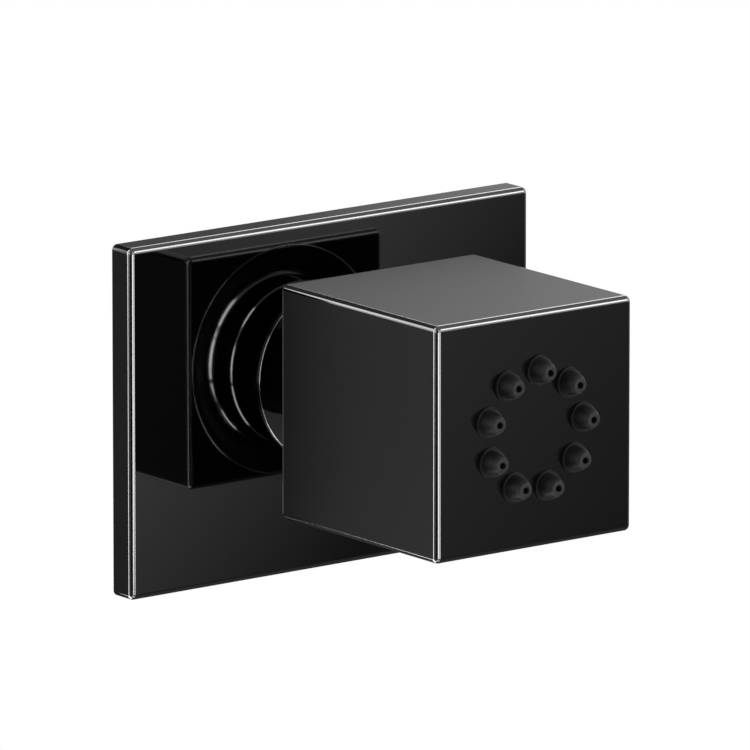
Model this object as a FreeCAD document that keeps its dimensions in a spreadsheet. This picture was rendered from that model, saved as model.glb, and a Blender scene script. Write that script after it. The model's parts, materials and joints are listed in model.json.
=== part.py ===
import FreeCAD, Part
import math
import os
import Sketcher

# Adjustable shower body jet: a rectangular wall plate, a turned collar, and a square spray head that swivels
# on a ball. Millimetres, +Z up. The wall is the plane y = 0, the room is on its -Y side, and the origin is
# where the axis of the inlet meets the wall. "Ahead" below is the distance from the wall into the room, so
# a point that lies 5 ahead has y = -5, and "out" is the distance from the axis.

doc = FreeCAD.newDocument("body_jet")
sheet = doc.addObject("Spreadsheet::Sheet", "Sizes")

SIZES = [
    ("plate_width", 84.0, "wall plate, side to side"),
    ("plate_height", 60.0, "wall plate, top to bottom"),
    ("plate_thickness", 5.0, "wall plate, wall to front face"),
    ("plate_skin", 2.0, "front wall left by the pocket in the plate's back"),
    ("plate_rim", 2.0, "side walls left by that pocket"),
    ("plate_boss", 16.0, "radius of the solid boss round the plate's hole"),
    ("axis_rise", 3.5, "height of the inlet's axis above the middle of the plate"),
    ("edge_round", 1.0, "rounding of the plate's and the head's edges"),
    ("gasket_width", 4.0, "foam gasket inside the plate's rim, seen from behind"),
    ("gasket_play", 0.1, "play between the gasket and the rim"),
    ("neck_gap", 12.75, "from the plate's front face to the back of the head"),
    ("head_width", 41.0, "spray head, side to side"),
    ("head_height", 40.0, "spray head, top to bottom"),
    ("head_depth", 42.5, "spray head, back to front"),
    ("head_bore", 15.0, "radius of the bore that holds the head's insides"),
    ("front_wall", 3.0, "wall that the nozzles pass through"),
    ("dish_radius", 19.5, "rim of the conical dish in the head's back"),
    ("dish_depth", 2.2, "depth of that dish where it meets the bore"),
    ("thread_radius", 10.478, "major radius of the G 1/2 thread"),
    ("inlet_reach", 18.0, "length of the nipple behind the wall plane"),
    ("inlet_chamfer", 1.0, "chamfer at the nipple's ends"),
    ("relief_length", 1.5, "thread relief between the nipple's two threads"),
    ("relief_depth", 0.9, "depth of that relief"),
    ("nipple_lead", 6.0, "length of the nipple ahead of the plate"),
    ("nipple_rear_bore", 7.2, "radius of the bore for the filter and the flow limiter"),
    ("nipple_rear_depth", 12.0, "depth of that bore"),
    ("nipple_water_bore", 4.5, "radius of the narrow bore in the nipple's middle"),
    ("nipple_key_flats", 10.0, "hexagon socket in the nipple, across flats"),
    ("nipple_key_depth", 4.0, "depth of that socket"),
    ("stem_thread", 7.5, "radius of the bore that the ball stem screws into"),
    ("stem_engagement", 9.5, "depth of that bore"),
    ("stem_flange_radius", 8.4, "flange on the nipple's end, small enough for the nut to slip over it"),
    ("stem_flange_length", 2.5, "thickness of that flange"),
    ("stem_neck_radius", 6.5, "neck between the flange and the ball"),
    ("stem_bore", 3.8, "radius of the water way through the ball stem"),
    ("stem_key_flats", 8.0, "hexagon socket in the ball's front, across flats"),
    ("stem_key_depth", 7.0, "depth of that socket"),
    ("collar_base_radius", 15.5, "collar where it stands on the plate"),
    ("collar_front_radius", 13.8, "collar at its front rim"),
    ("collar_length", 10.0, "collar from the plate to its front rim"),
    ("collar_thread_length", 5.0, "threaded part of the collar's bore"),
    ("collar_bore", 11.4, "radius of the open part of the collar's bore"),
    ("collar_round", 0.6, "rounding of the collar's two rims"),
    ("ball_radius", 10.0, "ball that the head swivels on"),
    ("ball_inset", 9.0, "from the back of the head to the ball's centre"),
    ("liner_thickness", 0.9, "slip liners between the ball and its seats"),
    ("running_gap", 0.05, "radial clearance of the ball, the liners and the seats"),
    ("thread_gap", 0.05, "radial clearance of threads and of pieces in the head's bore"),
    ("swivel_limit", 14.2, "largest tilt of the head off the axis, in degrees"),
    ("nut_proud", 1.0, "height of the swivel nut above the bottom of the dish"),
    ("nut_round", 0.8, "rounding of the swivel nut's rim"),
    ("nut_lip", 2.0, "thickness of the nut's lip behind the rear seat"),
    ("nut_wall", 2.55, "wall of the nut round the rear seat"),
    ("nut_front", 0.3, "from the ball's centre to the nut's front end"),
    ("seat_gap", 0.2, "gap between the rear and the front seat"),
    ("spanner_hole_radius", 0.9, "pin spanner holes in the nut's back"),
    ("spanner_hole_depth", 1.5, "depth of those holes"),
    ("spanner_hole_count", 4, "how many of them"),
    ("liner_near", 1.0, "from the ball's middle plane to each liner's near edge"),
    ("liner_far", 3.9, "from there to its far edge, which clears the nut's lip when the head tilts"),
    ("seat_socket_depth", 6.1, "from the ball's centre to the end of the front socket"),
    ("seal_station", 7.4, "from the ball's centre to the plane of the ball seal"),
    ("seal_section", 1.2, "section radius of the ball seal"),
    ("seal_groove_end", 8.7, "from the ball's centre to the end of the seal's groove"),
    ("seat_length", 10.0, "from the ball's centre to the front seat's front face"),
    ("seat_throat", 5.5, "radius of the water way in the front seat"),
    ("ring_section", 0.7, "section radius of the O-rings in the bore"),
    ("ring_gap", 0.02, "clearance of an O-ring in its groove"),
    ("ring_groove_length", 1.8, "width of an O-ring's groove"),
    ("nut_ring_station", 2.4, "from the ball's centre back to the nut's O-ring"),
    ("seat_ring_station", 4.9, "from the ball's centre ahead to the front seat's O-ring"),
    ("diffuser_wall", 2.9, "wall of the diffuser"),
    ("diffuser_baffle", 2.5, "thickness of its pierced baffle"),
    ("diffuser_chamber", 3.75, "depth of the chamber ahead of the baffle"),
    ("diffuser_hole_radius", 1.5, "holes in the baffle"),
    ("diffuser_hole_circle", 7.5, "radius of the circle that they lie on"),
    ("diffuser_hole_count", 8, "how many of them"),
    ("backing_thickness", 3.0, "plate behind the nozzle mat"),
    ("backing_hole_radius", 1.3, "holes in that plate"),
    ("mat_thickness", 2.0, "flat part of the nozzle mat"),
    ("nozzle_count", 9, "nozzles in the ring"),
    ("nozzle_circle", 10.05, "radius of the circle that the nozzles lie on"),
    ("nozzle_turn", 5.0, "first nozzle, turned from the top of that circle towards +X, in degrees"),
    ("nozzle_stem", 2.05, "nozzle where it passes the front wall"),
    ("nozzle_lip_radius", 2.56, "lip that lies on the front face"),
    ("nozzle_lip_height", 0.4, "thickness of that lip"),
    ("nozzle_body_radius", 2.25, "nozzle just ahead of its lip"),
    ("nozzle_bulge", 4.8, "radius of the rounded side of the nozzle"),
    ("nozzle_height", 3.2, "nozzle from the front face to its tip"),
    ("nozzle_tip_radius", 1.35, "nozzle at its tip"),
    ("nozzle_tip_round", 0.35, "rounding of the tip"),
    ("nozzle_inlet_radius", 1.4, "bore of a nozzle at the mat's back"),
    ("nozzle_outlet_radius", 0.62, "bore of a nozzle at its tip"),
    ("base_ring_radius", 12.9, "O-ring under the collar, centre of its section"),
    ("base_ring_section", 0.6, "section radius of that O-ring"),
    ("stem_ring_section", 0.75, "section radius of the O-ring on the stem's end"),
    ("stem_ring_station", 3.2, "from the end of the stem to that O-ring"),
    ("limiter_length", 6.0, "flow limiter, back to front"),
    ("limiter_base", 2.0, "thickness of its pierced base"),
    ("limiter_wall", 1.0, "its outer wall"),
    ("limiter_pin", 2.2, "radius of its middle pin"),
    ("limiter_hole_radius", 0.8, "holes in its base"),
    ("limiter_hole_circle", 4.2, "radius of the circle that they lie on"),
    ("limiter_hole_count", 8, "how many of them"),
    ("limiter_ring_section", 0.95, "section radius of the elastic ring that sets the flow"),
    ("filter_wall", 0.6, "sheet of the filter screen"),
    ("filter_rim", 1.2, "flat rim of the screen"),
    ("filter_rise", 2.4, "height of its dome"),
    ("filter_recess", 1.5, "from the nipple's end to the screen's rim"),
    ("filter_hole_radius", 0.4, "holes in the screen"),
    ("filter_hole_count", 10, "how many in the inner ring, half of those in the outer one"),
]

for row, (alias, value, note) in enumerate(SIZES, start=1):
    sheet.set(f"A{row}", note)
    sheet.set(f"B{row}", str(value))
    sheet.setAlias(f"B{row}", alias)
doc.recompute()


class Length:
    """A size worked out from the sheet: the formula that binds it and the value that it has now."""

    def __init__(self, formula, value):
        self.formula = formula
        self.value = float(value)

    def combine(self, other, sign, value):
        return Length(f"({self.formula} {sign} {as_length(other).formula})", value)

    def __add__(self, other):
        return self.combine(other, "+", self.value + as_length(other).value)

    def __radd__(self, other):
        return as_length(other) + self

    def __sub__(self, other):
        return self.combine(other, "-", self.value - as_length(other).value)

    def __rsub__(self, other):
        return as_length(other) - self

    def __mul__(self, other):
        return self.combine(other, "*", self.value * as_length(other).value)

    def __rmul__(self, other):
        return as_length(other) * self

    def __truediv__(self, other):
        return self.combine(other, "/", self.value / as_length(other).value)

    def __neg__(self):
        return Length(f"(0 - {self.formula})", -self.value)


def as_length(number):
    return number if isinstance(number, Length) else Length(repr(float(number)), number)


def size(alias):
    return Length(f"Sizes.{alias}", getattr(sheet, alias))


def on_circle(radius, offset):
    """How far out a circle of this radius is, at this offset from its centre."""
    formula = f"sqrt({radius.formula} * {radius.formula} - {offset.formula} * {offset.formula})"
    return Length(formula, math.sqrt(radius.value**2 - offset.value**2))


def sine(degrees):
    return Length(f"sin({degrees.formula} * 1deg)", math.sin(math.radians(degrees.value)))


def cosine(degrees):
    return Length(f"cos({degrees.formula} * 1deg)", math.cos(math.radians(degrees.value)))


def tangent(degrees):
    return Length(f"tan({degrees.formula} * 1deg)", math.tan(math.radians(degrees.value)))


def bind(thing, name, length):
    thing.setExpression(name, as_length(length).formula)


# Stations along the axis, all of them ahead of the wall.
plate_front = size("plate_thickness")
collar_front = plate_front + size("collar_length")
head_back = plate_front + size("neck_gap")
head_front = head_back + size("head_depth")
ball_centre = head_back + size("ball_inset")
dish_bottom = head_back + size("dish_depth")
nut_back = dish_bottom - size("nut_proud")
nut_front = ball_centre + size("nut_front")
bore_end = head_front - size("front_wall")
mat_back = bore_end - size("mat_thickness")
backing_back = mat_back - size("backing_thickness")
seat_front = ball_centre + size("seat_length")
nipple_front = plate_front + size("nipple_lead")
nipple_end = -size("inlet_reach")
rear_bore_end = nipple_end + size("nipple_rear_depth")
stem_bore_end = nipple_front - size("stem_engagement")
stem_flange_front = nipple_front + size("stem_flange_length")

# Radii that several pieces share.
stem_radius = size("stem_thread") - size("thread_gap")
insert_radius = size("head_bore") - size("thread_gap")
liner_inside = size("ball_radius") + size("running_gap")
liner_outside = liner_inside + size("liner_thickness")
socket_radius = liner_outside + size("running_gap")
seat_pocket = insert_radius - size("nut_wall")
ring_floor = size("head_bore") - 2 * size("ring_section")
cartridge_radius = size("nipple_rear_bore") - size("thread_gap")
nozzle_hole = size("nozzle_stem") + size("thread_gap")
nozzle_across = size("nozzle_circle") * sine(size("nozzle_turn"))
nozzle_up = size("nozzle_circle") * cosine(size("nozzle_turn"))

nodes = {}


def new_body(name):
    body = doc.addObject("PartDesign::Body", name)
    body.Label = name
    nodes[name] = body
    return body


def origin_part(body, role):
    return [feature for feature in body.Origin.OriginFeatures if feature.Role == role][0]


def new_sketch(body, name, plane, ahead=None):
    """A sketch on one of the body's own planes. On XZ it can stand ahead of the wall."""
    sketch = body.newObject("Sketcher::SketchObject", name)
    sketch.AttachmentSupport = [(origin_part(body, plane), "")]
    sketch.MapMode = "FlatFace"
    if ahead is not None:
        bind(sketch, "AttachmentOffset.Base.z", ahead)
    return sketch


def pin_point(sketch, geometry, vertex, across, up):
    """Ties a point of the sketch to its two sizes, measured from the sketch's origin."""
    for kind, length in (("DistanceX", across), ("DistanceY", up)):
        index = sketch.addConstraint(Sketcher.Constraint(kind, -1, 1, geometry, vertex, length.value))
        sketch.setExpression(f"Constraints[{index}]", length.formula)


def draw_circle(sketch, across, up, radius):
    across, up = as_length(across), as_length(up)
    centre = FreeCAD.Vector(across.value, up.value, 0)
    circle = sketch.addGeometry(Part.Circle(centre, FreeCAD.Vector(0, 0, 1), radius.value), False)
    pin_point(sketch, circle, 3, across, up)
    index = sketch.addConstraint(Sketcher.Constraint("Radius", circle, radius.value))
    sketch.setExpression(f"Constraints[{index}]", radius.formula)


def arc_between(start, end, radius, side):
    """The short arc between two points, with its middle to the left of the chord for side 1, right for -1."""
    chord = end - start
    across = FreeCAD.Vector(-chord.y, chord.x, 0).normalize() * side
    centre = (start + end) / 2 - across * math.sqrt(radius**2 - (chord.Length / 2) ** 2)
    first, last = (end, start) if side > 0 else (start, end)
    angles = [math.atan2(point.y - centre.y, point.x - centre.x) for point in (first, last)]
    circle = Part.Circle(centre, FreeCAD.Vector(0, 0, 1), radius)
    return Part.ArcOfCircle(circle, angles[0], angles[1])


def draw_outline(sketch, points, arcs=None):
    """A closed outline through points that are tied to their sizes. arcs maps a side to (radius, side)."""
    arcs = arcs or {}
    places = [FreeCAD.Vector(across.value, up.value, 0) for across, up in points]
    count = len(points)
    ends = []
    for side, start in enumerate(places):
        end = places[(side + 1) % count]
        if side in arcs:
            radius, bulge = arcs[side]
            geometry = sketch.addGeometry(arc_between(start, end, radius.value, bulge), False)
            ends.append((geometry, 2, 1) if bulge > 0 else (geometry, 1, 2))
            index = sketch.addConstraint(Sketcher.Constraint("Radius", geometry, radius.value))
            sketch.setExpression(f"Constraints[{index}]", radius.formula)
        else:
            geometry = sketch.addGeometry(Part.LineSegment(start, end), False)
            ends.append((geometry, 1, 2))
    for side, (geometry, _, last) in enumerate(ends):
        following, first, _ = ends[(side + 1) % count]
        sketch.addConstraint(Sketcher.Constraint("Coincident", geometry, last, following, first))
    for (geometry, first, _), (across, up) in zip(ends, points):
        pin_point(sketch, geometry, first, across, up)


def rectangle(sketch, width, height, up):
    """A rectangle whose middle is this far up from the sketch's origin."""
    left, right = -width / 2, width / 2
    low, high = up - height / 2, up + height / 2
    draw_outline(sketch, [(left, low), (right, low), (right, high), (left, high)])


def hexagon(sketch, flats):
    radius = flats / math.sqrt(3)
    corners = []
    for corner in range(6):
        angle = math.radians(60 * corner)
        corners.append((radius * math.cos(angle), radius * math.sin(angle)))
    draw_outline(sketch, corners)


def turned(body, name, points, arcs=None, kind="PartDesign::Revolution"):
    """Turns an outline of (ahead, out) points about the axis. Two more values in arcs give (radius, side)."""
    sketch = new_sketch(body, name + "_outline", "YZ_Plane")
    draw_outline(sketch, [(-as_length(ahead), as_length(out)) for ahead, out in points], arcs)
    feature = body.newObject(kind, name)
    feature.Profile = sketch
    feature.ReferenceAxis = (sketch, ["H_Axis"])
    feature.Angle = 360
    return feature


def padded(body, name, sketch, length):
    pad = body.newObject("PartDesign::Pad", name)
    pad.Profile = sketch
    bind(pad, "Length", length)
    return pad


def cut_ahead(body, name, sketch, length):
    """Cuts from the sketch into the room."""
    pocket = body.newObject("PartDesign::Pocket", name)
    pocket.Profile = sketch
    pocket.Reversed = True
    bind(pocket, "Length", length)
    return pocket


def cut_back(body, name, sketch, length):
    """Cuts from the sketch towards the wall."""
    pocket = body.newObject("PartDesign::Pocket", name)
    pocket.Profile = sketch
    bind(pocket, "Length", length)
    return pocket


def ring_of(body, name, features, count):
    """Repeats features round the axis. It counts once the body's tip is set to it."""
    pattern = body.newObject("PartDesign::PolarPattern", name)
    pattern.Originals = features
    pattern.Axis = (origin_part(body, "Y_Axis"), [""])
    pattern.Angle = 360
    bind(pattern, "Occurrences", count)
    body.Tip = pattern
    return pattern


def round_edges(body, name, radius, wanted):
    """Rounds the edges of the body so far that wanted picks."""
    doc.recompute()
    base = body.Tip
    picked = [f"Edge{number}" for number, edge in enumerate(base.Shape.Edges, start=1) if wanted(edge)]
    fillet = body.newObject("PartDesign::Fillet", name)
    fillet.Base = (base, picked)
    bind(fillet, "Radius", radius)
    return fillet


def rim_at(ahead, out):
    """Picks the circular edge at this station and radius."""

    def wanted(edge):
        if not isinstance(edge.Curve, Part.Circle):
            return False
        level = abs(edge.Curve.Center.y + ahead.value) < 0.01
        return level and abs(edge.Curve.Radius - out.value) < 0.01

    return wanted


def o_ring(name, ahead, centre_radius, section):
    ring = doc.addObject("Part::Torus", name)
    ring.Label = name
    bind(ring, "Radius1", centre_radius)
    bind(ring, "Radius2", section - size("ring_gap"))
    bind(ring, "Placement.Base.y", -ahead)
    bind(ring, "Placement.Rotation.Angle", as_length(90))
    ring.Placement.Rotation.Axis = FreeCAD.Vector(1, 0, 0)
    nodes[name] = ring
    return ring


def wall_plate():
    body = new_body("wall_plate")
    middle = -size("axis_rise")
    face = new_sketch(body, "plate_face", "XZ_Plane")
    rectangle(face, size("plate_width"), size("plate_height"), middle)
    padded(body, "plate_block", face, size("plate_thickness"))

    def away_from_wall(edge):
        return edge.BoundBox.YMin < -0.01

    round_edges(body, "plate_rounding", size("edge_round"), away_from_wall)
    hollow = new_sketch(body, "plate_hollow_face", "XZ_Plane")
    inside_width = size("plate_width") - 2 * size("plate_rim")
    inside_height = size("plate_height") - 2 * size("plate_rim")
    rectangle(hollow, inside_width, inside_height, middle)
    draw_circle(hollow, 0, 0, size("plate_boss"))
    cut_ahead(body, "plate_hollow", hollow, size("plate_thickness") - size("plate_skin"))
    hole = new_sketch(body, "plate_hole_face", "XZ_Plane")
    draw_circle(hole, 0, 0, size("thread_radius") + 2 * size("thread_gap"))
    cut_ahead(body, "plate_hole", hole, size("plate_thickness"))


def plate_gasket():
    body = new_body("plate_gasket")
    around = 2 * (size("plate_rim") + size("gasket_play"))
    width = size("plate_width") - around
    height = size("plate_height") - around
    ring = new_sketch(body, "gasket_face", "XZ_Plane")
    rectangle(ring, width, height, -size("axis_rise"))
    inset = 2 * size("gasket_width")
    rectangle(ring, width - inset, height - inset, -size("axis_rise"))
    padded(body, "gasket_sheet", ring, size("plate_thickness") - size("plate_skin"))


def inlet_nipple():
    body = new_body("inlet_nipple")
    thread = size("thread_radius")
    chamfer = size("inlet_chamfer")
    relief = thread - size("relief_depth")
    relief_end = size("relief_length")
    turned(body, "nipple_turning", [
        (nipple_end, size("nipple_rear_bore")),
        (nipple_end, thread - chamfer),
        (nipple_end + chamfer, thread),
        (0, thread),
        (size("relief_depth") / 2, relief),
        (relief_end, relief),
        (relief_end, thread),
        (nipple_front - chamfer, thread),
        (nipple_front, thread - chamfer),
        (nipple_front, size("stem_thread")),
        (stem_bore_end, size("stem_thread")),
        (stem_bore_end, size("nipple_water_bore")),
        (rear_bore_end, size("nipple_water_bore")),
        (rear_bore_end, size("nipple_rear_bore")),
    ])
    socket = new_sketch(body, "nipple_key_face", "XZ_Plane", stem_bore_end)
    hexagon(socket, size("nipple_key_flats"))
    cut_back(body, "nipple_key_socket", socket, size("nipple_key_depth"))


def filter_screen():
    body = new_body("filter_screen")
    rim_back = nipple_end + size("filter_recess")
    rim_front = rim_back + size("filter_wall")
    dome_radius = cartridge_radius - size("filter_rim")
    ball = (dome_radius * dome_radius + size("filter_rise") * size("filter_rise")) / (2 * size("filter_rise"))
    inner_ball = ball - size("filter_wall")
    dome_centre = rim_front + size("filter_rise") - ball
    axis = as_length(0)
    turned(body, "filter_turning", [
        (rim_back, on_circle(inner_ball, rim_back - dome_centre)),
        (dome_centre + inner_ball, axis),
        (dome_centre + ball, axis),
        (rim_front, dome_radius),
        (rim_front, cartridge_radius),
        (rim_back, cartridge_radius),
    ], {0: (inner_ball, -1), 2: (ball, 1)})
    depth = size("filter_rise") + 2 * size("filter_wall")
    for ring, share in (("inner", 0.4), ("outer", 0.78)):
        face = new_sketch(body, f"filter_{ring}_face", "XZ_Plane", rim_back)
        draw_circle(face, 0, share * dome_radius, size("filter_hole_radius"))
        hole = cut_ahead(body, f"filter_{ring}_hole", face, depth)
        count = size("filter_hole_count") * (1 if ring == "inner" else 2)
        ring_of(body, f"filter_{ring}_holes", [hole], count)


def flow_limiter():
    body = new_body("flow_limiter")
    front = rear_bore_end
    base = front - size("limiter_base")
    back = front - size("limiter_length")
    inside = cartridge_radius - size("limiter_wall")
    turned(body, "limiter_turning", [
        (back + size("limiter_wall"), as_length(0)),
        (back + size("limiter_wall"), size("limiter_pin")),
        (base, size("limiter_pin")),
        (base, inside),
        (back, inside),
        (back, cartridge_radius),
        (front, cartridge_radius),
        (front, as_length(0)),
    ])
    face = new_sketch(body, "limiter_hole_face", "XZ_Plane", base)
    draw_circle(face, 0, size("limiter_hole_circle"), size("limiter_hole_radius"))
    hole = cut_ahead(body, "limiter_hole", face, size("limiter_base"))
    ring_of(body, "limiter_holes", [hole], size("limiter_hole_count"))
    section = size("limiter_ring_section")
    o_ring("limiter_ring", base - section, size("limiter_pin") + 2 * section, section)


def collar():
    body = new_body("collar")
    ring = size("base_ring_radius")
    half = size("base_ring_section") + 2 * size("ring_gap")
    groove_end = plate_front + 2 * size("base_ring_section")
    thread = size("thread_radius") + size("thread_gap")
    thread_end = plate_front + size("collar_thread_length")
    turned(body, "collar_turning", [
        (plate_front, thread),
        (plate_front, ring - half),
        (groove_end, ring - half),
        (groove_end, ring + half),
        (plate_front, ring + half),
        (plate_front, size("collar_base_radius")),
        (collar_front, size("collar_front_radius")),
        (collar_front, size("collar_bore")),
        (thread_end, size("collar_bore")),
        (thread_end, thread),
    ])

    def outer_rim(edge):
        base = rim_at(plate_front, size("collar_base_radius"))
        front = rim_at(collar_front, size("collar_front_radius"))
        return base(edge) or front(edge)

    round_edges(body, "collar_rounding", size("collar_round"), outer_rim)
    o_ring("collar_o_ring", plate_front + size("base_ring_section"), ring, size("base_ring_section"))


def ball_stem():
    body = new_body("ball_stem")
    ball = size("ball_radius")
    neck = size("stem_neck_radius")
    bore = size("stem_bore")
    stem_end = stem_bore_end + size("thread_gap")
    groove = size("ring_groove_length") / 2
    ring_centre = stem_end + size("stem_ring_station")
    floor = size("stem_thread") - 2 * size("stem_ring_section")
    turned(body, "stem_turning", [
        (stem_end, bore),
        (stem_end, stem_radius),
        (ring_centre - groove, stem_radius),
        (ring_centre - groove, floor),
        (ring_centre + groove, floor),
        (ring_centre + groove, stem_radius),
        (nipple_front, stem_radius),
        (nipple_front, size("stem_flange_radius")),
        (stem_flange_front, size("stem_flange_radius")),
        (stem_flange_front, neck),
        (ball_centre - on_circle(ball, neck), neck),
        (ball_centre + on_circle(ball, bore), bore),
    ], {10: (ball, -1)})
    socket = new_sketch(body, "stem_key_face", "XZ_Plane", ball_centre + ball)
    hexagon(socket, size("stem_key_flats"))
    cut_back(body, "stem_key_socket", socket, size("stem_key_depth"))
    rim = rim_at(stem_flange_front, size("stem_flange_radius"))
    round_edges(body, "stem_rounding", size("collar_round"), rim)
    section = size("stem_ring_section")
    o_ring("stem_o_ring", ring_centre, size("stem_thread") - section, section)


def slip_liners():
    """Two thin spherical zones that float between the ball and its seats."""
    near, far = size("liner_near"), size("liner_far")
    for name, sign in (("rear_slip_liner", -1), ("front_slip_liner", 1)):
        body = new_body(name)
        near_plane = ball_centre + sign * near
        far_plane = ball_centre + sign * far
        turned(body, name + "_turning", [
            (near_plane, on_circle(liner_inside, near)),
            (near_plane, on_circle(liner_outside, near)),
            (far_plane, on_circle(liner_outside, far)),
            (far_plane, on_circle(liner_inside, far)),
        ], {1: (liner_outside, sign * -1), 3: (liner_inside, sign)})


def head_shell():
    body = new_body("head_shell")
    face = new_sketch(body, "head_face", "XZ_Plane", head_back)
    rectangle(face, size("head_width"), size("head_height"), as_length(0))
    padded(body, "head_block", face, size("head_depth"))
    round_edges(body, "head_rounding", size("edge_round"), lambda edge: True)
    turned(body, "head_boring", [
        (head_back, as_length(0)),
        (head_back, size("dish_radius")),
        (dish_bottom, size("head_bore")),
        (bore_end, size("head_bore")),
        (bore_end, as_length(0)),
    ], kind="PartDesign::Groove")
    hole_face = new_sketch(body, "nozzle_hole_face", "XZ_Plane", bore_end)
    draw_circle(hole_face, nozzle_across, nozzle_up, nozzle_hole)
    hole = cut_ahead(body, "nozzle_hole", hole_face, size("front_wall"))
    ring_of(body, "nozzle_holes", [hole], size("nozzle_count"))


def swivel_nut():
    body = new_body("swivel_nut")
    lip_front = nut_back + size("nut_lip")
    reach = tangent(size("swivel_limit"))
    neck = size("stem_neck_radius") / cosine(size("swivel_limit")) + 9 * size("running_gap")
    groove = size("ring_groove_length") / 2
    ring_centre = ball_centre - size("nut_ring_station")
    turned(body, "nut_turning", [
        (nut_back, neck + reach * (ball_centre - nut_back)),
        (nut_back, insert_radius),
        (ring_centre - groove, insert_radius),
        (ring_centre - groove, ring_floor),
        (ring_centre + groove, ring_floor),
        (ring_centre + groove, insert_radius),
        (nut_front, insert_radius),
        (nut_front, seat_pocket),
        (lip_front, seat_pocket),
        (lip_front, neck + reach * (ball_centre - lip_front)),
    ])
    face = new_sketch(body, "spanner_hole_face", "XZ_Plane", nut_back)
    middle = (insert_radius + neck + reach * (ball_centre - nut_back)) / 2
    draw_circle(face, 0, middle, size("spanner_hole_radius"))
    hole = cut_ahead(body, "spanner_hole", face, size("spanner_hole_depth"))
    ring_of(body, "spanner_holes", [hole], size("spanner_hole_count"))
    round_edges(body, "nut_rounding", size("nut_round"), rim_at(nut_back, insert_radius))
    o_ring("nut_o_ring", ring_centre, size("head_bore") - size("ring_section"), size("ring_section"))


def rear_ball_seat():
    body = new_body("rear_ball_seat")
    back = nut_back + size("nut_lip")
    front = nut_front - size("seat_gap")
    outside = seat_pocket - size("thread_gap")
    turned(body, "rear_seat_turning", [
        (back, on_circle(socket_radius, ball_centre - back)),
        (back, outside),
        (front, outside),
        (front, on_circle(socket_radius, front - ball_centre)),
    ], {3: (socket_radius, 1)})


def front_ball_seat():
    body = new_body("front_ball_seat")
    groove = size("ring_groove_length") / 2
    ring_centre = ball_centre + size("seat_ring_station")
    seal_reach = size("ball_radius") + size("running_gap") + size("seal_section")
    seal_out = on_circle(seal_reach, size("seal_station"))
    seal_groove = seal_out + size("seal_section") + size("ring_gap")
    socket_end = ball_centre + size("seat_socket_depth")
    groove_end = ball_centre + size("seal_groove_end")
    turned(body, "front_seat_turning", [
        (nut_front, on_circle(socket_radius, size("nut_front"))),
        (nut_front, insert_radius),
        (ring_centre - groove, insert_radius),
        (ring_centre - groove, ring_floor),
        (ring_centre + groove, ring_floor),
        (ring_centre + groove, insert_radius),
        (seat_front, insert_radius),
        (seat_front, size("seat_throat")),
        (groove_end, size("seat_throat")),
        (groove_end, seal_groove),
        (socket_end, seal_groove),
        (socket_end, on_circle(socket_radius, size("seat_socket_depth"))),
    ], {11: (socket_radius, 1)})
    o_ring("front_seat_o_ring", ring_centre, size("head_bore") - size("ring_section"), size("ring_section"))
    o_ring("ball_seal", ball_centre + size("seal_station"), seal_out, size("seal_section"))


def diffuser():
    body = new_body("diffuser")
    inside = insert_radius - size("diffuser_wall")
    groove = size("ring_groove_length") / 2
    ring_centre = (seat_front + backing_back) / 2
    baffle_front = backing_back - size("diffuser_chamber")
    baffle_back = baffle_front - size("diffuser_baffle")
    turned(body, "diffuser_turning", [
        (seat_front, inside),
        (seat_front, insert_radius),
        (ring_centre - groove, insert_radius),
        (ring_centre - groove, ring_floor),
        (ring_centre + groove, ring_floor),
        (ring_centre + groove, insert_radius),
        (backing_back, insert_radius),
        (backing_back, inside),
        (baffle_front, inside),
        (baffle_front, as_length(0)),
        (baffle_back, as_length(0)),
        (baffle_back, inside),
    ])
    face = new_sketch(body, "diffuser_hole_face", "XZ_Plane", baffle_back)
    draw_circle(face, 0, size("diffuser_hole_circle"), size("diffuser_hole_radius"))
    hole = cut_ahead(body, "diffuser_hole", face, size("diffuser_baffle"))
    ring_of(body, "diffuser_holes", [hole], size("diffuser_hole_count"))
    o_ring("diffuser_o_ring", ring_centre, size("head_bore") - size("ring_section"), size("ring_section"))


def backing_plate():
    body = new_body("backing_plate")
    face = new_sketch(body, "backing_face", "XZ_Plane", backing_back)
    draw_circle(face, 0, 0, insert_radius)
    padded(body, "backing_disc", face, size("backing_thickness"))
    hole_face = new_sketch(body, "backing_hole_face", "XZ_Plane", backing_back)
    draw_circle(hole_face, nozzle_across, nozzle_up, size("backing_hole_radius"))
    hole = cut_ahead(body, "backing_hole", hole_face, size("backing_thickness"))
    ring_of(body, "backing_holes", [hole], size("nozzle_count"))


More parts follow.
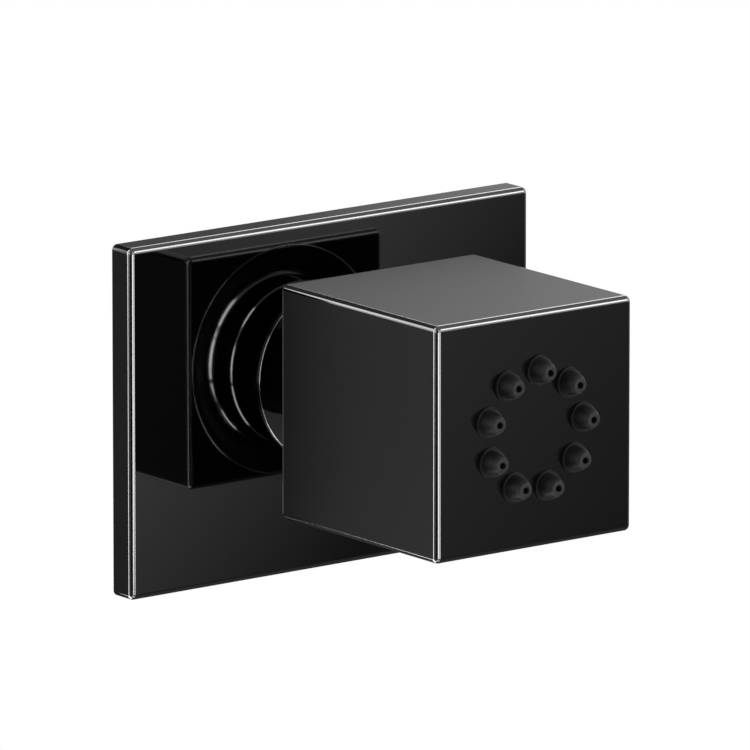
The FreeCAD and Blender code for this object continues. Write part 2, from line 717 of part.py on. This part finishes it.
def nozzle_mat():
    body = new_body("nozzle_mat")
    face = new_sketch(body, "mat_face", "XZ_Plane", mat_back)
    draw_circle(face, 0, 0, insert_radius)
    padded(body, "mat_disc", face, size("mat_thickness"))
    axis = size("nozzle_circle")
    lip_front = head_front + size("nozzle_lip_height")
    tip = head_front + size("nozzle_height")
    outline = [
        (mat_back, as_length(0)),
        (mat_back, size("nozzle_stem")),
        (head_front, size("nozzle_stem")),
        (head_front, size("nozzle_lip_radius")),
        (lip_front, size("nozzle_lip_radius")),
        (lip_front, size("nozzle_body_radius")),
        (tip - size("nozzle_tip_round"), size("nozzle_tip_radius")),
        (tip, size("nozzle_tip_radius") - size("nozzle_tip_round")),
        (tip, as_length(0)),
    ]
    bore = [
        (mat_back, as_length(0)),
        (mat_back, size("nozzle_inlet_radius")),
        (tip, size("nozzle_outlet_radius")),
        (tip, as_length(0)),
    ]
    bulges = {5: (size("nozzle_bulge"), -1), 6: (size("nozzle_tip_round"), -1)}
    made = []
    for name, points, arcs, kind in (
        ("nozzle", outline, bulges, "PartDesign::Revolution"),
        ("nozzle_bore", bore, {}, "PartDesign::Groove"),
    ):
        sketch = new_sketch(body, name + "_outline", "YZ_Plane")
        sketch.AttachmentOffset = FreeCAD.Placement(FreeCAD.Vector(), FreeCAD.Rotation(1, 0, 0, 1))
        bind(sketch, "AttachmentOffset.Rotation.Angle", size("nozzle_turn"))
        draw_outline(sketch, [(-ahead, axis + out) for ahead, out in points], arcs)
        feature = body.newObject(kind, name)
        feature.Profile = sketch
        feature.ReferenceAxis = (sketch, [f"Edge{len(points)}"])
        feature.Angle = 360
        made.append(feature)
    ring_of(body, "nozzles", made, size("nozzle_count"))


for build in (
    wall_plate, plate_gasket, inlet_nipple, filter_screen, flow_limiter, collar, ball_stem, slip_liners,
    head_shell, swivel_nut, rear_ball_seat, front_ball_seat, diffuser, backing_plate, nozzle_mat,
):
    build()
doc.recompute()

for item in doc.Objects:
    if "Invalid" in item.State or "Error" in item.State:
        raise RuntimeError(f"{item.Label} did not build: {item.State}")
os.makedirs("parts", exist_ok=True)
for name, item in nodes.items():
    if item.Shape.isNull() or not item.Shape.isValid():
        raise RuntimeError(f"{name} has no valid shape")
    if len(item.Shape.Solids) != 1:
        raise RuntimeError(f"{name} has {len(item.Shape.Solids)} solids")
    item.Shape.exportStep(f"parts/{name}.step")
    print(name, round(item.Shape.Volume, 2))
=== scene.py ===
"""Looks for the adjustable shower body jet: black plate, collar and head, soft grey nozzles, brass inlet."""

import json
import math

import bmesh
import bpy
from mathutils import Matrix, Vector


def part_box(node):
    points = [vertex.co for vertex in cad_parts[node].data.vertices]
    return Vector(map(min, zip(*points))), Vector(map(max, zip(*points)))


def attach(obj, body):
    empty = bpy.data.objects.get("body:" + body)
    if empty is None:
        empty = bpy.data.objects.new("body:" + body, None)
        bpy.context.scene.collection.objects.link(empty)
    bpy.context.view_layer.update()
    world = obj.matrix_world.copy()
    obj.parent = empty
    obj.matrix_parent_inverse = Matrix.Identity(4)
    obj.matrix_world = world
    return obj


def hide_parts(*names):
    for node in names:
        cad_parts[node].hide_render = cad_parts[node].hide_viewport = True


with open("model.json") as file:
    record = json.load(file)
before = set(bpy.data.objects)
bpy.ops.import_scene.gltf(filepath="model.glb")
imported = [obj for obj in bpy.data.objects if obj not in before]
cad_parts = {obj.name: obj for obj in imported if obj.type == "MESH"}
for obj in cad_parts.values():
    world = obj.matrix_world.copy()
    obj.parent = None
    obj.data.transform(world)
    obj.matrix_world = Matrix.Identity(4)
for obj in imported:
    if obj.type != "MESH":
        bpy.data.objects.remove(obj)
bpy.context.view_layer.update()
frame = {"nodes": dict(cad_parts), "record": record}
MM = 0.001

# Finishes


class Socket:
    """A value in a material. Sums and comparisons on it add Math nodes."""

    def __init__(self, finish, output):
        self.finish = finish
        self.output = output

    def math(self, operation, first, second=0.0):
        return self.finish.node("ShaderNodeMath", {"operation": operation}, {0: first, 1: second})

    def __add__(self, other):
        return self.math("ADD", self, other)

    __radd__ = __add__

    def __sub__(self, other):
        return self.math("SUBTRACT", self, other)

    def __rsub__(self, other):
        return self.math("SUBTRACT", other, self)

    def __mul__(self, other):
        return self.math("MULTIPLY", self, other)

    __rmul__ = __mul__

    def __truediv__(self, other):
        return self.math("DIVIDE", self, other)

    def __gt__(self, other):
        return self.math("GREATER_THAN", self, other)

    def __lt__(self, other):
        return self.math("LESS_THAN", self, other)

    def absolute(self):
        return self.math("ABSOLUTE", self)


class Finish:
    """A node tree being written, of a material or of the world."""

    def __init__(self, tree):
        self.tree = tree
        tree.nodes.clear()

    def node(self, kind, settings=None, values=None, output=0):
        node = self.tree.nodes.new(kind)
        for name, setting in (settings or {}).items():
            if name == "stops":
                ramp = node.color_ramp
                while len(ramp.elements) < len(setting):
                    ramp.elements.new(0.5)
                for element, (place, colour) in zip(ramp.elements, setting):
                    element.position = place
                    element.color = colour
            else:
                setattr(node, name, setting)
        for name, value in (values or {}).items():
            if isinstance(value, Socket):
                self.tree.links.new(value.output, node.inputs[name])
            else:
                node.inputs[name].default_value = value
        return Socket(self, node.outputs[output]) if len(node.outputs) else None


FINE_SCALE = 900.0
BROAD_SCALE, BROAD_DETAIL = 0.06, 3.0  # the slow changes, as a share of the fine grain's scale
BLACK_MOTTLE, BLACK_ROUGH_SPREAD = 0.25, 0.1
EDGE, EDGE_ROUGHNESS = 0.9 * MM, 0.1
# The metal colour along the rounded black edges: a painted highlight.
EDGE_HIGHLIGHT_METAL = (0.3, 0.3, 0.305, 1.0)
TIP_LENGTH = 0.8 * MM


def grey(level):
    return (level, level, level, 1.0)


def new_finish(name):
    material = bpy.data.materials.new(name)
    material.use_nodes = True
    return material, Finish(material.node_tree)


def place_along(finish, axis, space="Object"):
    """The place along one axis: 0 for X, 1 for Y and 2 for Z."""
    place = finish.node("ShaderNodeTexCoord", output=space)
    return finish.node("ShaderNodeSeparateXYZ", None, {0: place}, output=axis)


def noise(finish, scale, detail=2.0):
    place = finish.node("ShaderNodeTexCoord", output="Object")
    return finish.node("ShaderNodeTexNoise", None, {"Vector": place, "Scale": scale, "Detail": detail})


def mixed_colour(finish, share, first, second):
    return finish.node("ShaderNodeMix", {"data_type": "RGBA"}, {0: share, 6: first, 7: second}, output=2)


def surface(name, base, roughness, metallic=0.0, mottle_and_highlight=0.0, grain_scale=FINE_SCALE, grain=0.0,
            ior=1.5, rough_spread=0.0, sheen=0.0, highlight_blend=None):
    """A finish whose colour, roughness and fine relief vary a little over the surface. Given a blend, its
    colour follows that instead of the noise, which on the nozzles paints a highlight on their tips.
    """
    material, finish = new_finish(name)
    fine = noise(finish, grain_scale)
    share = highlight_blend(finish) if highlight_blend else noise(finish, grain_scale * BROAD_SCALE, BROAD_DETAIL)
    darker = tuple(channel * (1.0 - mottle_and_highlight) for channel in base) + (1.0,)
    lighter = tuple(min(1.0, channel * (1.0 + mottle_and_highlight)) for channel in base) + (1.0,)
    values = {
        "Base Color": mixed_colour(finish, share, darker, lighter),
        "Metallic": metallic,
        "Roughness": roughness + (fine - 0.5) * rough_spread if rough_spread else roughness,
        "IOR": ior,
        "Sheen Weight": sheen,
        "Sheen Roughness": 0.3,
    }
    if grain:
        values["Normal"] = finish.node("ShaderNodeBump", None,
                                       {"Strength": 1.0, "Distance": grain, "Height": fine})
    shader = finish.node("ShaderNodeBsdfPrincipled", None, values)
    finish.node("ShaderNodeOutputMaterial", None, {"Surface": shader})
    return material


def black_with_highlight_edges(name, part, base, roughness, ior, specular, front_roughness=None, wall_side=False):
    """Black on the flat faces, with dark bright metal painted along the rounded edges as their highlight
    lines.

    A point near two outer faces is on an edge. The front counts twice on a wall_side part, and has to be
    one of them.
    """
    material, finish = new_finish(name)
    low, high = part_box(part)
    front_change = 0.0 if front_roughness is None else roughness - front_roughness
    near = 0.0
    for axis in range(3):
        along = place_along(finish, axis)
        if axis == 1:
            front = along < low[1] + EDGE
        if axis == 1 and wall_side:
            near = near + front * 2.0
        else:
            middle, half = (low[axis] + high[axis]) / 2, (high[axis] - low[axis]) / 2
            near = near + ((along - middle).absolute() > half - EDGE)
    edge = near > (2.5 if wall_side else 1.5)
    fine = noise(finish, FINE_SCALE)
    broad = noise(finish, FINE_SCALE * BROAD_SCALE, BROAD_DETAIL)
    black = mixed_colour(finish, broad, grey(base * (1.0 - BLACK_MOTTLE)), grey(base * (1.0 + BLACK_MOTTLE)))
    flat = roughness - front * front_change
    change = (fine - 0.5) * (roughness * BLACK_ROUGH_SPREAD)
    # The rounded edges turn to bright metal here, a painted highlight line.
    shader = finish.node("ShaderNodeBsdfPrincipled", None, {
        "Base Color": mixed_colour(finish, edge, black, EDGE_HIGHLIGHT_METAL),
        "Metallic": edge,
        "IOR": ior,
        "Specular IOR Level": specular,
        "Roughness": change + flat - edge * (flat - EDGE_ROUGHNESS),
    })
    finish.node("ShaderNodeOutputMaterial", None, {"Surface": shader})
    return material


def nozzle_tip_highlight(finish):
    """0 on the sides of the nozzles and 1 on their tips, which are painted lighter as a highlight."""
    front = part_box("nozzle_mat")[0][1]
    return (front + TIP_LENGTH - place_along(finish, 1)) / (TIP_LENGTH / 2)


FINISHES = {
    # Both black finishes carry painted highlights along their rounded edges.
    "head_black": black_with_highlight_edges("satin_black_head", "head_shell", 0.0035, 0.35, 1.5, 0.45,
                                 front_roughness=0.15),
    "plate_black": black_with_highlight_edges("gloss_black_plate", "wall_plate", 0.0012, 0.05, 1.9, 0.5, wall_side=True),
    "gloss_black": surface("gloss_black_paint", (0.0012, 0.0012, 0.0013), 0.05, mottle_and_highlight=0.25, ior=1.9,
                           rough_spread=0.02),
    # Bright metal for the turned rims of black parts, a painted highlight.
    "highlight_ring_metal": surface("painted_highlight_metal", (0.85, 0.85, 0.86), 0.1, metallic=1.0, mottle_and_highlight=0.04,
                         rough_spread=0.02),
    "chrome": surface("polished_chrome", (0.6, 0.6, 0.62), 0.08, metallic=1.0, mottle_and_highlight=0.04,
                      rough_spread=0.03),
    "brass": surface("machined_brass", (0.62, 0.44, 0.18), 0.25, metallic=1.0, mottle_and_highlight=0.05,
                     rough_spread=0.04),
    "screen_steel": surface("stainless_screen", (0.55, 0.55, 0.56), 0.3, metallic=1.0, mottle_and_highlight=0.1,
                            rough_spread=0.1),
    "acetal": surface("moulded_acetal", (0.7, 0.7, 0.67), 0.45, mottle_and_highlight=0.05, rough_spread=0.1),
    "liner": surface("low_friction_liner", (0.75, 0.72, 0.64), 0.5, mottle_and_highlight=0.06, rough_spread=0.1),
    # The silicone is painted lighter on the nozzles' tips, as their highlight.
    "silicone": surface("grey_silicone", (0.035, 0.035, 0.0355), 0.5, mottle_and_highlight=0.65, rough_spread=0.12,
                        grain_scale=2500.0, grain=0.00001, sheen=0.6, highlight_blend=nozzle_tip_highlight),
    "seal_rubber": surface("seal_rubber", (0.015, 0.015, 0.016), 0.5, mottle_and_highlight=0.2, rough_spread=0.1),
    "foam": surface("closed_cell_foam", (0.05, 0.05, 0.05), 0.9, mottle_and_highlight=0.3, rough_spread=0.1,
                    grain_scale=3000.0, grain=0.0001),
}

SLOT_OF = {row["node"]: row["material_slot"] for row in frame["record"]["subparts"]}
OWN_FINISH = {"head_shell": "head_black", "wall_plate": "plate_black"}
JOIN_WITHIN = 1e-6
CREASE = 32  # a corner of more degrees than this between two faces stays sharp
FLAT_WEIGHT = 90


def dress(obj, finish):
    obj.data.materials.clear()
    obj.data.materials.append(FINISHES[finish])


def smooth_faces(obj, crease=CREASE):
    """Joins loose triangles, and keeps real edges sharp and flat faces flat."""
    weld = obj.modifiers.new("join", "WELD")
    weld.merge_threshold = JOIN_WITHIN
    split = obj.modifiers.new("edges", "EDGE_SPLIT")
    split.split_angle = math.radians(crease)
    even = obj.modifiers.new("flats", "WEIGHTED_NORMAL")
    even.mode = "FACE_AREA"
    even.weight = FLAT_WEIGHT
    for face in obj.data.polygons:
        face.use_smooth = True


for name, node in frame["nodes"].items():
    dress(node, OWN_FINISH.get(name, SLOT_OF[name]))
    smooth_faces(node)

# Turned pieces. A section is drawn by its corners, each a radius and a place along the inlet's axis.

FULL_TURN = 2 * math.pi
ABOUT_INLET = {"cent": (0.0, 0.0, 0.0), "axis": (0.0, 1.0, 0.0)}


def draw_section(shape, outline):
    corners = [shape.verts.new((radius, along, 0.0)) for radius, along in outline]
    return corners + [shape.edges.new((corners[k - 1], corners[k])) for k in range(len(corners))]


def turn_section(shape, outline, steps):
    section = draw_section(shape, outline)
    bmesh.ops.spin(shape, geom=section, angle=FULL_TURN, steps=steps, use_merge=True, **ABOUT_INLET)


def add_mesh(shape, name):
    mesh = bpy.data.meshes.new(name)
    shape.to_mesh(mesh)
    shape.free()
    obj = bpy.data.objects.new(name, mesh)
    bpy.context.scene.collection.objects.link(obj)
    return obj


def make_piece(shape, name, finish, body, crease=CREASE):
    bmesh.ops.recalc_face_normals(shape, faces=shape.faces)
    piece = add_mesh(shape, name)
    dress(piece, finish)
    smooth_faces(piece, crease)
    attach(piece, body)
    return piece


# The bright turned edges of the nut, the head's hollow and the collar: rims in bright metal, a painted
# highlight on these black parts

RING_STEPS, BEAD_SIDES = 180, 16
NUT_ROUND = 0.8 * MM
NUT_RIM_OUT, NUT_RIM_BACK = 0.81 * MM, 0.31 * MM  # from the middle of the nut's rounding
NUT_LEAN, NUT_WIDTH = 38, 0.45 * MM
NUT_STEEP_LEAN, NUT_STEEP_WIDTH = 47, 0.22 * MM
NUT_CREASE = 6
DISH_RADIUS, DISH_DEPTH, DISH_BEAD = 19.6 * MM, 0.05 * MM, 0.13 * MM
LIP_RADIUS, LIP_DEPTH, LIP_LEAN, LIP_WIDTH = 14.05 * MM, 0.45 * MM, 34.5, 0.45 * MM
LIP_FEET = ((13.2 * MM, 0.6 * MM), (13.6 * MM, 0.1 * MM))
BASE_RADIUS, BASE_DEPTH, BASE_BEAD = 15.3 * MM, 0.2 * MM, 0.12 * MM


def turned_ring(name, outline, body, crease=CREASE):
    shape = bmesh.new()
    turn_section(shape, outline, RING_STEPS)
    make_piece(shape, name, "highlight_ring_metal", body, crease)


def bead(radius, along, thickness):
    """The round section of a bead."""
    turns = [FULL_TURN * k / BEAD_SIDES for k in range(BEAD_SIDES)]
    return [(radius + thickness * math.cos(turn), along + thickness * math.sin(turn)) for turn in turns]


def facet(corner, lean, width):
    """The far corner of a straight stretch that faces outwards and leans towards the wall."""
    lean = math.radians(lean)
    return (corner[0] - width * math.sin(lean), corner[1] + width * math.cos(lean))


def add_nut_rim():
    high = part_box("swivel_nut")[1]
    heart = (high[0] - NUT_ROUND, high[1] - NUT_ROUND)
    start = (heart[0] + NUT_RIM_OUT, heart[1] + NUT_RIM_BACK)
    middle = facet(start, NUT_LEAN, NUT_WIDTH)
    end = facet(middle, NUT_STEEP_LEAN, NUT_STEEP_WIDTH)
    turned_ring("nut_rim", [start, middle, end, heart], "head", NUT_CREASE)


def add_dish_rim():
    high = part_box("head_shell")[1]
    turned_ring("dish_rim", bead(DISH_RADIUS, high[1] - DISH_DEPTH, DISH_BEAD), "head")


def add_collar_rims():
    low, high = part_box("collar")
    lip = (LIP_RADIUS, low[1] + LIP_DEPTH)
    feet = [(radius, low[1] + depth) for radius, depth in LIP_FEET]
    turned_ring("collar_front_rim", [lip, facet(lip, LIP_LEAN, LIP_WIDTH)] + feet, "base")
    turned_ring("collar_base_rim", bead(BASE_RADIUS, high[1] - BASE_DEPTH, BASE_BEAD), "base")


add_nut_rim()
add_dish_rim()
add_collar_rims()

# The nipple, with the ridge of its half inch pipe thread

PITCH = 1.814 * MM
CREST, ROOT = 10.478 * MM, 9.316 * MM
THREAD_START, RUN_OUT = 0.9 * MM, 0.3 * MM
TURNS, STEPS_A_TURN = 8.5, 72
RIDGE_SINK, CREST_ROUND = 0.1 * MM, 0.1 * MM
FOOT_HALF, SHOULDER_HALF, CREST_HALF = 0.83 * MM, 0.2 * MM, 0.1 * MM
NIPPLE_STEPS = 96
REAR_CHAMFER, FRONT_CHAMFER = 0.5 * MM, 1.0 * MM
GROOVE = 9.58 * MM
REAR_BORE, NARROW_BORE, FRONT_BORE = 7.2 * MM, 4.5 * MM, 7.5 * MM
NARROW_START, NARROW_END = -1.5 * MM, 6.0 * MM  # the groove's front is where the narrow bore starts


def nipple_outline(front, back):
    return [
        (REAR_BORE, back), (ROOT - REAR_CHAMFER, back), (ROOT, back - REAR_CHAMFER),
        (ROOT, 0.0), (GROOVE, 0.0), (GROOVE, NARROW_START), (CREST, NARROW_START),
        (CREST, front + FRONT_CHAMFER), (CREST - FRONT_CHAMFER, front), (FRONT_BORE, front),
        (FRONT_BORE, NARROW_START), (NARROW_BORE, NARROW_START), (NARROW_BORE, NARROW_END),
        (REAR_BORE, NARROW_END)]


def ridge_outline():
    """The thread's ridge, from its foot just inside the root up to its blunt crest and down again."""
    half = [(ROOT - RIDGE_SINK, FOOT_HALF), (CREST - CREST_ROUND, SHOULDER_HALF), (CREST, CREST_HALF)]
    return ([(radius, THREAD_START - along) for radius, along in half]
            + [(radius, THREAD_START + along) for radius, along in reversed(half)])


def corners_in(section):
    return [item for item in section if isinstance(item, bmesh.types.BMVert)]


def add_threaded_nipple():
    low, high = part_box("inlet_nipple")
    shape = bmesh.new()
    turn_section(shape, nipple_outline(low[1], high[1]), NIPPLE_STEPS)
    first = draw_section(shape, ridge_outline())
    wound = bmesh.ops.spin(shape, geom=first, dvec=(0.0, PITCH / STEPS_A_TURN, 0.0),
                           angle=TURNS * FULL_TURN, steps=int(TURNS * STEPS_A_TURN), **ABOUT_INLET)
    for section in (first, wound["geom_last"]):
        bmesh.ops.contextual_create(shape, geom=corners_in(section))
    for corner in shape.verts:
        radius = math.hypot(corner.co.x, corner.co.z)
        most = max(ROOT, min(CREST, ROOT + high[1] - RUN_OUT - corner.co.y))
        if radius > most and corner.co.y > 0.0:
            corner.co.x *= most / radius
            corner.co.z *= most / radius
    nipple = make_piece(shape, "threaded_nipple", "brass", "base")
    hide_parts("inlet_nipple")


add_threaded_nipple()

# Studio


def seen_rays(finish):
    """1 for a ray from the camera and for one that a polished or clear surface sends on."""
    rays = [finish.node("ShaderNodeLightPath", output=name)
            for name in ("Is Camera Ray", "Is Glossy Ray", "Is Transmission Ray")]
    return (rays[0] + rays[1] + rays[2]) > 0.5


def floor_finish(level):
    """A pale surface that is seen as white, and that lamps light at its own level."""
    material, finish = new_finish("pale_floor")
    lit = finish.node("ShaderNodeBsdfDiffuse", None, {"Color": grey(level)})
    shown = finish.node("ShaderNodeEmission", None, {"Color": grey(1.0), "Strength": 1.0})
    mixed = finish.node("ShaderNodeMixShader", None, {0: seen_rays(finish), 1: lit, 2: shown})
    finish.node("ShaderNodeOutputMaterial", None, {"Surface": mixed})
    return material


def add_floor(height, half, level):
    shape = bmesh.new()
    bmesh.ops.create_grid(shape, x_segments=1, y_segments=1, size=half)
    bmesh.ops.translate(shape, verts=shape.verts, vec=(0.0, 0.0, height))
    floor = add_mesh(shape, "floor")
    floor.data.materials.append(floor_finish(level))


def direction(azimuth, elevation):
    """Azimuth 0 is in front of the head and 90 on its left, both as the camera's arc is counted."""
    a, e = math.radians(azimuth), math.radians(elevation)
    return Vector((-math.sin(a) * math.cos(e), -math.cos(a) * math.cos(e), math.sin(e)))


AIM = Vector((0.0, -30 * MM, 0.0))


def turned_to_aim(azimuth, elevation, distance):
    back = direction(azimuth, elevation)
    return Matrix.Translation(AIM + back * distance) @ back.to_track_quat("Z", "Y").to_matrix().to_4x4()


def add_lamp(name, azimuth, elevation, distance, width, height, radiance):
    data = bpy.data.lights.new(name, "AREA")
    data.shape = "RECTANGLE"
    data.size, data.size_y = width, height
    data.energy = radiance * math.pi * width * height
    lamp = bpy.data.objects.new(name, data)
    lamp.matrix_world = turned_to_aim(azimuth, elevation, distance)
    bpy.context.scene.collection.objects.link(lamp)


def card_finish(name, level, across, up, darkest, lightest):
    """A card that shows its own grey, which changes by across and up for each metre from its middle."""
    material, finish = new_finish(name)
    shade = place_along(finish, 0) * across + place_along(finish, 1) * up + level
    shade = finish.node("ShaderNodeClamp", None, {"Value": shade, "Min": darkest, "Max": lightest})
    shown = finish.node("ShaderNodeEmission", None, {"Color": shade, "Strength": 1.0})
    finish.node("ShaderNodeOutputMaterial", None, {"Surface": shown})
    return material


def add_card(name, azimuth, elevation, distance, width, height, level, across=0.0, up=0.0,
             shades=(0.0, 1.0)):
    """A sheet that the camera doesn't see, for the black faces to mirror."""
    shape = bmesh.new()
    bmesh.ops.create_grid(shape, x_segments=1, y_segments=1, size=0.5)
    bmesh.ops.scale(shape, verts=shape.verts, vec=(width, height, 1.0))
    card = add_mesh(shape, name)
    card.matrix_world = turned_to_aim(azimuth, elevation, distance)
    card.visible_camera = False
    card.data.materials.append(card_finish(name, level, across, up, *shades))


ROOM_LEVELS = ((0.0, 0.3), (0.52, 0.12), (0.62, 0.15), (0.72, 0.6), (1.0, 1.0))  # 0 is down and 1 is up


def set_world():
    world = bpy.data.worlds.new("studio")
    bpy.context.scene.world = world
    world.use_nodes = True
    finish = Finish(world.node_tree)
    up = place_along(finish, 2, "Generated")
    stops = [(height, grey(level)) for height, level in ROOM_LEVELS]
    shade = finish.node("ShaderNodeValToRGB", {"stops": stops}, {0: up * 0.5 + 0.5})
    room = finish.node("ShaderNodeBackground", None, {"Color": shade, "Strength": 1.0})
    white = finish.node("ShaderNodeBackground", None, {"Color": grey(1.0), "Strength": 1.0})
    mixed = finish.node("ShaderNodeMixShader", None, {0: seen_rays(finish), 1: room, 2: white})
    finish.node("ShaderNodeOutputWorld", None, {"Surface": mixed})


CAMERA_YAW, CAMERA_PITCH = math.radians(37.48), math.radians(12.55)
CAMERA_LENS, CAMERA_SENSOR = 636.4, 36.0
CAMERA_DISTANCE, CAMERA_LEFT, CAMERA_RISE = 2.2095, 7.67 * MM, 3.77 * MM
CAMERA_NEAREST, CAMERA_FURTHEST = 0.05, 50.0
CAMERA_MIDDLE = Vector((0.0, -29.6 * MM, 0.0))


def add_camera():
    yaw, pitch = CAMERA_YAW, CAMERA_PITCH
    forward = Vector((math.sin(yaw) * math.cos(pitch), math.cos(yaw) * math.cos(pitch), -math.sin(pitch)))
    right = Vector((math.cos(yaw), -math.sin(yaw), 0.0))
    up = right.cross(forward)
    place = CAMERA_MIDDLE - forward * CAMERA_DISTANCE - right * CAMERA_LEFT + up * CAMERA_RISE
    data = bpy.data.cameras.new("camera")
    data.lens, data.sensor_width = CAMERA_LENS, CAMERA_SENSOR
    data.clip_start, data.clip_end = CAMERA_NEAREST, CAMERA_FURTHEST
    camera = bpy.data.objects.new("camera", data)
    camera.matrix_world = Matrix((
        (right.x, up.x, -forward.x, place.x),
        (right.y, up.y, -forward.y, place.y),
        (right.z, up.z, -forward.z, place.z),
        (0.0, 0.0, 0.0, 1.0),
    ))
    bpy.context.scene.collection.objects.link(camera)
    bpy.context.scene.camera = camera


add_floor(height=-0.6, half=8.0, level=0.6)

# Azimuth and elevation in degrees, distance, width and height in metres, and radiance
for lamp_row in (
        ("front_left_box", 15, -12.5, 1.0, 0.36, 0.12, 3.2),
        ("front_box", -13, -12.5, 1.0, 0.2, 0.12, 2.8),
        ("front_right_box", -42, 28, 1.5, 0.21, 0.62, 2.8),
        ("back_left_box", 145.6, 20, 1.5, 0.21, 0.53, 1.7),
        ("left_strip", 111, -2, 1.0, 0.21, 0.74, 3.3),
        ("left_high_strip", 122, 42, 1.0, 0.24, 0.8, 3.5),
        ("left_low_strip", 125, -52, 0.5, 0.36, 0.46, 3.5),
        ("back_right_box", -137, 31, 1.5, 0.6, 0.4, 2.2),
        ("low_box", 20, -52, 0.6, 0.5, 0.4, 1.1)):
    add_lamp(*lamp_row)

# The same as far as the height, then the grey at the middle, its two changes, and its darkest and lightest
for card_row in (
        ("dark_cloth", 0, -90, 0.59, 6.0, 6.0, 0.07),
        ("graded_card", -37.5, -12.5, 0.8, 0.5, 0.85, 0.26, -4.0, 3.0, (0.05, 0.7)),
        ("back_card", -142.5, 12.5, 0.8, 0.4, 0.3, 0.355, -6.05, 0.0, (0.16, 0.8)),
        ("side_card", 142.5, -12.5, 0.8, 0.3, 0.3, 0.11),
        ("dark_side_card", 44, 5, 1.2, 0.78, 1.8, 0.01),
        ("dark_back_card", 180, 30, 1.9, 2.6, 2.2, 0.06),
        ("dark_ceiling", 0, 90, 1.6, 4.0, 4.0, 0.25)):
    add_card(*card_row)

set_world()
add_camera()
bpy.context.scene.view_settings.view_transform = "Standard"
